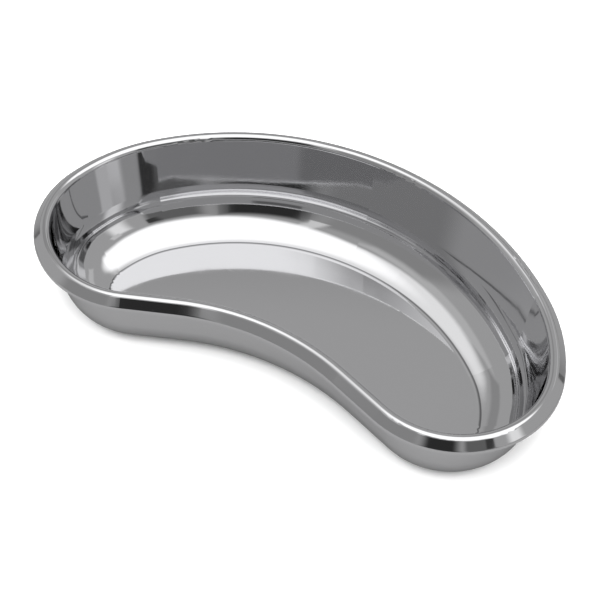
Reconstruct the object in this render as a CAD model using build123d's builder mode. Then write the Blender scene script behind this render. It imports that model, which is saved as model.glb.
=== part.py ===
"""Kidney dish for the ward: one piece of stainless sheet, drawn and turned over at the rim.

The dish is a flat kidney-shaped base and a single sheet section that runs round it:
a wide foot radius, a wall that leans out a little, a crest, a sloping rim and a short
upright lip, where the edge of the rim is turned down. The section keeps one thickness,
and it is carried round an outline of tangent arcs called the crest line, which is where
the rim is highest.

Frame: millimetres, +Z up, origin under the middle of the dish on the surface that it
stands on. +X is the long way, and the hollow of the kidney faces -Y.
"""

import os
from math import asin, atan, cos, degrees, radians, sin

from build123d import *

# Driving dimensions, in millimetres and degrees.
overall_length = 250.0  # over the rim, tip to tip
overall_width = 139.5  # over the rim, from the round back to the two tips
height = 49.5  # from the standing surface to the crest
sheet = 0.6  # thickness of the stainless sheet

end_radius = 42.5  # of the crest line at the two round ends
shoulder_turn = 29.5  # angle of the easier arc between the back and an end
waist_depth = 18.3  # how far the hollow side comes in from the line of the tips
waist_straight = 24.5  # flat run between an end and the arc of the waist

wall_lean = 5.8  # of the wall, outwards from upright
foot_radius = 22.8  # between wall and base, at mid-thickness
crest_radius = 2.3  # over the top of the rim, at mid-thickness
rim_reach = 5.2  # from the crest line out to the edge of the rim
rim_slope = 44.0  # of the rim, down from level
edge_radius = 1.5  # where the rim turns down into the lip, at mid-thickness
lip_length = 0.6  # of the lip, which is upright

# Crest line, right half. It is laid out from the ends inwards: the end circle touches
# the box of the crest line, and the back and waist arcs are tangent to what is left.
crest_half_length = overall_length / 2 - rim_reach
crest_width = overall_width - 2 * rim_reach
end_x = crest_half_length - end_radius
end_y = end_radius - crest_width
full_turn = 180.0

# With no shoulder, one back arc would meet the end circle at this heading.
plain_back_radius = (end_x**2 + end_y**2 - end_radius**2) / (2 * (crest_width - 2 * end_radius))
meeting_turn = degrees(asin(end_x / (plain_back_radius - end_radius)))

# The shoulder is let in evenly on both sides of it, which fixes both large radii.
back_turn = meeting_turn - shoulder_turn / 2
end_start = meeting_turn + shoulder_turn / 2
back_dx, back_dy = sin(radians(back_turn)), cos(radians(back_turn))
end_dx, end_dy = sin(radians(end_start)), cos(radians(end_start))
across = end_x + end_radius * end_dx
down = end_y + end_radius * end_dy
divisor = back_dx * (end_dy - back_dy) - (end_dx - back_dx) * (back_dy - 1)
back_radius = (across * (end_dy - back_dy) - (end_dx - back_dx) * down) / divisor
shoulder_radius = (back_dx * down - (back_dy - 1) * across) / divisor

# The straight is the common tangent of the end circle and the waist circle.
waist_radius = (end_x**2 - waist_straight**2) / (2 * waist_depth) - end_radius + waist_depth / 2
centres_rise = waist_radius + end_radius - waist_depth
centres_angle = degrees(atan(centres_rise / end_x))
tangent_angle = degrees(atan(waist_straight / (waist_radius + end_radius)))
waist_turn = 90 - centres_angle - tangent_angle
end_turn = full_turn + waist_turn - end_start

# Sheet section, at mid-thickness, from the top of the crest.
lean = radians(wall_lean)
slope = radians(rim_slope)
half_sheet = sheet / 2
wall_turn = 90 - wall_lean
bends_drop = (crest_radius + foot_radius) * (1 - sin(lean))
wall_length = (height - sheet - bends_drop) / cos(lean)
rim_run = rim_reach - half_sheet - edge_radius - (crest_radius - edge_radius) * sin(slope)
rim_length = rim_run / cos(slope)
lip_turn = 90 - rim_slope
base_inset = (crest_radius + foot_radius) * cos(lean) + wall_length * sin(lean)

back_y = overall_width / 2 - rim_reach
section_plane = Plane(origin=(0, back_y, 0), x_dir=(0, 1, 0), z_dir=(1, 0, 0))

with BuildLine(Plane.XY) as crest_line:
    back = JernArc((0, back_y), (1, 0), back_radius, -back_turn)
    shoulder = JernArc(back @ 1, back % 1, shoulder_radius, -shoulder_turn)
    end = JernArc(shoulder @ 1, shoulder % 1, end_radius, -end_turn)
    straight = PolarLine(end @ 1, waist_straight, direction=end % 1)
    waist = JernArc(straight @ 1, straight % 1, waist_radius, waist_turn)
    mirror(about=Plane.YZ)

with BuildPart() as dish:
    # The section: sheet of one thickness from the edge of the base to the lip.
    with BuildSketch(section_plane):
        with BuildLine():
            crest = (0, height - half_sheet)
            crest_in = JernArc(crest, (-1, 0), crest_radius, wall_turn)
            wall = PolarLine(crest_in @ 1, wall_length, direction=crest_in % 1)
            JernArc(wall @ 1, wall % 1, foot_radius, -wall_turn)
            crest_out = JernArc(crest, (1, 0), crest_radius, -rim_slope)
            rim = PolarLine(crest_out @ 1, rim_length, direction=crest_out % 1)
            edge = JernArc(rim @ 1, rim % 1, edge_radius, -lip_turn)
            PolarLine(edge @ 1, lip_length, direction=edge % 1)
        trace(line_width=sheet)
    sweep(path=crest_line.wires()[0])
    # The flat base closes the foot.
    with BuildSketch(Plane.XY):
        make_face(crest_line.edges())
        offset(amount=-base_inset, mode=Mode.REPLACE)
    extrude(amount=sheet)

dish.part.label = "dish"
os.makedirs("parts", exist_ok=True)
export_step(dish.part, "parts/dish.step")
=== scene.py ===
"""Looks of the kidney dish: mirror-polished stainless steel on a pale floor, in soft light.

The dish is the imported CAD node. The script gives it its steel, and adds the floor, the light
that surrounds it and the camera. Everything is in metres, in the frame of the part.
"""

from math import cos, radians, sin

import bpy
from mathutils import Matrix, Vector

MM = 0.001
DISH = "dish"

# Camera, on its stand: where it looks from, in degrees, and what it looks at.
CAMERA_AZIMUTH = 25.454
CAMERA_ELEVATION = 50.934
CAMERA_ROLL = 2.505
CAMERA_DISTANCE = 715.1 * MM
CAMERA_TARGET = Vector((-10.264, 8.45, 0.0)) * MM
CAMERA_LENS = 90.494
SENSOR_WIDTH = 36.0
CLIP_NEAR = 0.01
CLIP_FAR = 50.0

# The steel: its colour, its roughness where it is best polished and where it was wiped, what
# a scratch adds to that, and the height of its waves.
STEEL_COLOUR = (0.72, 0.72, 0.73, 1.0)
POLISHED = 0.03
WIPED = 0.07
SCRATCH_EXTRA = 0.09
WAVE_HEIGHT = 0.05 * MM

# Painted shade along the crease where the base meets the foot: height above the standing surface, half
# its height, colour.
CREASE_SHADE_HEIGHT = 0.69 * MM
CREASE_SHADE_HALF = 0.05 * MM
CREASE_SHADE_COLOUR = (0.22, 0.22, 0.225, 1.0)

# The floor is two squares, just under the standing surface: what the camera sees, and what
# the steel reflects. Each has a name, a shade, a drop and whether the camera sees it.
FLOOR_HALF = 12.0
FLOORS = (
    ("floor_pale", 0.9, 0.02 * MM, True),
    ("floor_grey", 0.19, 0.04 * MM, False),
)

# The lamp over the floor, a disk that faces down.
LAMP_PLACE = (0.15, -0.55, 1.3)
LAMP_ACROSS = 1.2
LAMP_WATTS = 44.0

# The room. On its walls, each place is given by azimuth, half width, elevation, half
# height and softness, in degrees, and by brightness.
WALL_LIGHT = 0.42
WALL_PLACES = (
    (170.0, 28.0, 35.0, 3.0, 3.0, 0.58),
    (185.0, 9.0, 27.0, 2.0, 3.0, 0.15),
    (-130.0, 30.0, 43.0, 4.0, 5.0, 0.31),
    (-60.0, 30.0, 50.0, 4.0, 6.0, 0.55),
    (-26.0, 18.0, 24.0, 16.0, 12.0, 0.29),
    (18.0, 10.0, 27.0, 13.0, 12.0, 0.03),
    (52.0, 9.0, 25.0, 14.0, 7.0, 0.14),
    (62.0, 2.5, 35.0, 4.0, 2.0, 0.05),
    (84.0, 2.0, 23.0, 9.0, 7.0, 0.95),
    (90.0, 3.0, 35.0, 3.0, 2.0, 0.66),
    (-3.0, 2.0, 56.0, 15.0, 3.0, 0.75),
)
# On the ceiling: azimuth, elevation, half angle, softness and brightness.
CEILING_PLACES = (
    (-110.0, 82.0, 22.0, 8.0, 1.0),
    (80.0, 79.0, 27.0, 9.0, 1.45),
)


def direction(azimuth, elevation):
    """Unit vector towards a place in the room; azimuth 0 is the hollow side, 90 is +X."""
    across = cos(radians(elevation))
    return Vector(
        (
            sin(radians(azimuth)) * across,
            -cos(radians(azimuth)) * across,
            sin(radians(elevation)),
        )
    )


class Nodes:
    """A node tree that is written from left to right."""

    def __init__(self, tree):
        self.tree = tree
        tree.nodes.clear()

    def add(self, kind, inputs=None, **settings):
        node = self.tree.nodes.new(kind)
        for name, value in settings.items():
            setattr(node, name, value)
        for name, value in (inputs or {}).items():
            if isinstance(value, bpy.types.NodeSocket):
                self.tree.links.new(value, node.inputs[name])
            else:
                node.inputs[name].default_value = value
        return node

    def math(self, operation, a, b=0.0, c=0.0):
        return self.add("ShaderNodeMath", {0: a, 1: b, 2: c}, operation=operation).outputs[0]

    def ease(self, value, low, high, to_low=0.0, to_high=1.0):
        """value carried smoothly from low..high to to_low..to_high."""
        made = self.add(
            "ShaderNodeMapRange",
            {"Value": value, "From Min": low, "From Max": high, "To Min": to_low, "To Max": to_high},
            interpolation_type="SMOOTHSTEP",
        )
        return made.outputs["Result"]


def polished_steel():
    """Mirror-polished stainless sheet, with wipe marks, fine scratches, waves and a painted shade line
    at the base's crease.
    """
    material = bpy.data.materials.new("polished_steel")
    material.use_nodes = True
    nodes = Nodes(material.node_tree)
    place = nodes.add("ShaderNodeTexCoord").outputs["Object"]

    def noise(scale, detail=2.0, stretch=(1.0, 1.0, 1.0), turn=0.0):
        mapped = nodes.add(
            "ShaderNodeMapping",
            {"Vector": place, "Rotation": (0.0, 0.0, radians(turn)), "Scale": stretch},
        )
        made = nodes.add(
            "ShaderNodeTexNoise",
            {"Vector": mapped.outputs["Vector"], "Scale": scale, "Detail": detail},
        )
        return made.outputs["Fac"]

    wipes = nodes.ease(noise(40.0, 4.0), 0.35, 0.7, POLISHED, WIPED)
    # Scratches are the crests of noise drawn out along two directions, broken up by patches.
    along = nodes.ease(noise(60.0, 3.0, (0.6, 40.0, 40.0), 12.0), 0.66, 0.74)
    across = nodes.ease(noise(60.0, 3.0, (40.0, 0.6, 40.0), 31.0), 0.68, 0.76)
    worn = nodes.ease(noise(25.0), 0.42, 0.62)
    scratches = nodes.math("MULTIPLY", nodes.math("MAXIMUM", along, across), worn)
    rough = nodes.math("ADD", wipes, nodes.math("MULTIPLY", scratches, SCRATCH_EXTRA))
    # Painted shade: a dark line in the steel's colour along the crease where the foot starts to rise
    # from the base.
    rise = nodes.add("ShaderNodeSeparateXYZ", {"Vector": place}).outputs["Z"]
    off_line = nodes.math("ABSOLUTE", nodes.math("SUBTRACT", rise, CREASE_SHADE_HEIGHT))
    crease_shade = nodes.ease(off_line, CREASE_SHADE_HALF, 0.0)
    # The steel's colour, darkened to the painted crease shade on that line.
    tint = nodes.add(
        "ShaderNodeMix",
        {"Factor": crease_shade, "A": STEEL_COLOUR, "B": CREASE_SHADE_COLOUR},
        data_type="RGBA",
    )
    waviness = noise(18.0, 1.0)
    wavy = nodes.add(
        "ShaderNodeBump",
        {"Strength": 0.35, "Distance": WAVE_HEIGHT, "Height": waviness},
    )
    shader = nodes.add(
        "ShaderNodeBsdfPrincipled",
        {
            "Base Color": tint.outputs["Result"],
            "Metallic": 1.0,
            "Roughness": rough,
            "Normal": wavy.outputs["Normal"],
        },
    )
    nodes.add("ShaderNodeOutputMaterial", {"Surface": shader.outputs["BSDF"]})
    return material


def room():
    """The light round the dish: bright patches overhead, and grey walls with dark and light places."""
    world = bpy.data.worlds.new("studio")
    bpy.context.scene.world = world
    world.use_nodes = True
    nodes = Nodes(world.node_tree)
    look = nodes.add("ShaderNodeTexCoord").outputs["Generated"]
    axes = nodes.add("ShaderNodeSeparateXYZ", {"Vector": look}).outputs
    elevation = nodes.math("DEGREES", nodes.math("ARCSINE", axes["Z"]))
    away = nodes.math("MULTIPLY", axes["Y"], -1.0)
    azimuth = nodes.math("DEGREES", nodes.math("ARCTAN2", axes["X"], away))

    def beyond(value, middle, half):
        """How far value lies outside middle, give or take half."""
        gap = nodes.math("ABSOLUTE", nodes.math("SUBTRACT", value, middle))
        return nodes.math("SUBTRACT", gap, half)

    def mix(level, bright, share):
        """level, taken towards bright by a share from 0 to 1."""
        made = nodes.add(
            "ShaderNodeMix",
            {"Factor": share, "A": level, "B": bright},
            data_type="FLOAT",
        )
        return made.outputs["Result"]

    level = WALL_LIGHT
    for middle, width, rise, tall, soft, bright in WALL_PLACES:
        turned = nodes.math("WRAP", nodes.math("SUBTRACT", azimuth, middle), 180.0, -180.0)
        outside = nodes.math(
            "MAXIMUM", beyond(turned, 0.0, width), beyond(elevation, rise, tall)
        )
        level = mix(level, bright, nodes.ease(outside, soft, 0.0))
    for middle, rise, half, soft, bright in CEILING_PLACES:
        towards = nodes.add(
            "ShaderNodeVectorMath",
            {0: look, 1: direction(middle, rise)},
            operation="DOT_PRODUCT",
        ).outputs["Value"]
        share = nodes.ease(towards, cos(radians(half + soft)), cos(radians(half)))
        level = mix(level, bright, share)
    # The camera itself sees a plain white surround.
    seen = nodes.add("ShaderNodeLightPath").outputs["Is Camera Ray"]
    background = nodes.add("ShaderNodeBackground", {"Color": mix(level, 1.0, seen)})
    nodes.add("ShaderNodeOutputWorld", {"Surface": background.outputs["Background"]})


def floor():
    """A pale floor that the camera sees, over a grey one that only the steel reflects."""
    square = ((-1, -1), (1, -1), (1, 1), (-1, 1))
    for name, shade, drop, to_camera in FLOORS:
        mesh = bpy.data.meshes.new(name)
        corners = [(x * FLOOR_HALF, y * FLOOR_HALF, -drop) for x, y in square]
        mesh.from_pydata(corners, [], [(0, 1, 2, 3)])
        thing = bpy.data.objects.new(name, mesh)
        bpy.context.scene.collection.objects.link(thing)
        thing.visible_camera = to_camera
        thing.visible_glossy = not to_camera
        thing.visible_diffuse = False
        thing.visible_shadow = False
        material = bpy.data.materials.new(name)
        material.use_nodes = True
        nodes = Nodes(material.node_tree)
        matt = nodes.add("ShaderNodeBsdfDiffuse", {"Color": (shade, shade, shade, 1.0)})
        clear = nodes.add("ShaderNodeBsdfTransparent")
        # From below, and within a hair of it, the floor is clear, so that the underside can be seen.
        below = nodes.add("ShaderNodeNewGeometry").outputs["Backfacing"]
        reach = nodes.add("ShaderNodeLightPath").outputs["Ray Length"]
        touching = nodes.math("LESS_THAN", reach, MM)
        shader = nodes.add(
            "ShaderNodeMixShader",
            {
                0: nodes.math("MAXIMUM", below, touching),
                1: matt.outputs["BSDF"],
                2: clear.outputs["BSDF"],
            },
        )
        nodes.add("ShaderNodeOutputMaterial", {"Surface": shader.outputs["Shader"]})
        mesh.materials.append(material)


def ceiling_light():
    """A large soft light overhead that whitens the floor; the steel sees the room's ceiling instead."""
    data = bpy.data.lights.new("ceiling", "AREA")
    data.shape = "DISK"
    data.size = LAMP_ACROSS
    data.energy = LAMP_WATTS
    lamp = bpy.data.objects.new("ceiling", data)
    lamp.location = LAMP_PLACE
    lamp.visible_glossy = False
    lamp.visible_camera = False
    bpy.context.scene.collection.objects.link(lamp)


def camera():
    """The camera at the viewing angle of the picture."""
    data = bpy.data.cameras.new("camera")
    data.lens = CAMERA_LENS
    data.sensor_width = SENSOR_WIDTH
    data.clip_start = CLIP_NEAR
    data.clip_end = CLIP_FAR
    back = direction(CAMERA_AZIMUTH, CAMERA_ELEVATION)
    right = Vector((cos(radians(CAMERA_AZIMUTH)), sin(radians(CAMERA_AZIMUTH)), 0.0))
    up = back.cross(right)
    turn = Matrix.Rotation(radians(CAMERA_ROLL), 3, back)
    right, up = turn @ right, turn @ up
    made = bpy.data.objects.new("camera", data)
    facing = Matrix((right, up, back)).transposed().to_4x4()
    made.matrix_world = Matrix.Translation(CAMERA_TARGET + back * CAMERA_DISTANCE) @ facing
    bpy.context.scene.collection.objects.link(made)
    bpy.context.scene.camera = made


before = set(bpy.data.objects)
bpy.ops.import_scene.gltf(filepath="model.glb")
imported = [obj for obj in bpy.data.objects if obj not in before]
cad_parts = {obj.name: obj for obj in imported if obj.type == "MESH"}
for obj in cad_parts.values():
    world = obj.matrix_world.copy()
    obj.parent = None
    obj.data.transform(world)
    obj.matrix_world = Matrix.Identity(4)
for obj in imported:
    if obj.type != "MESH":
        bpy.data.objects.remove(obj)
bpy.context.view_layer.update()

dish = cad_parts[DISH]
dish.data.materials.clear()
dish.data.materials.append(polished_steel())

room()
floor()
ceiling_light()
camera()
bpy.context.scene.view_settings.view_transform = "Standard"
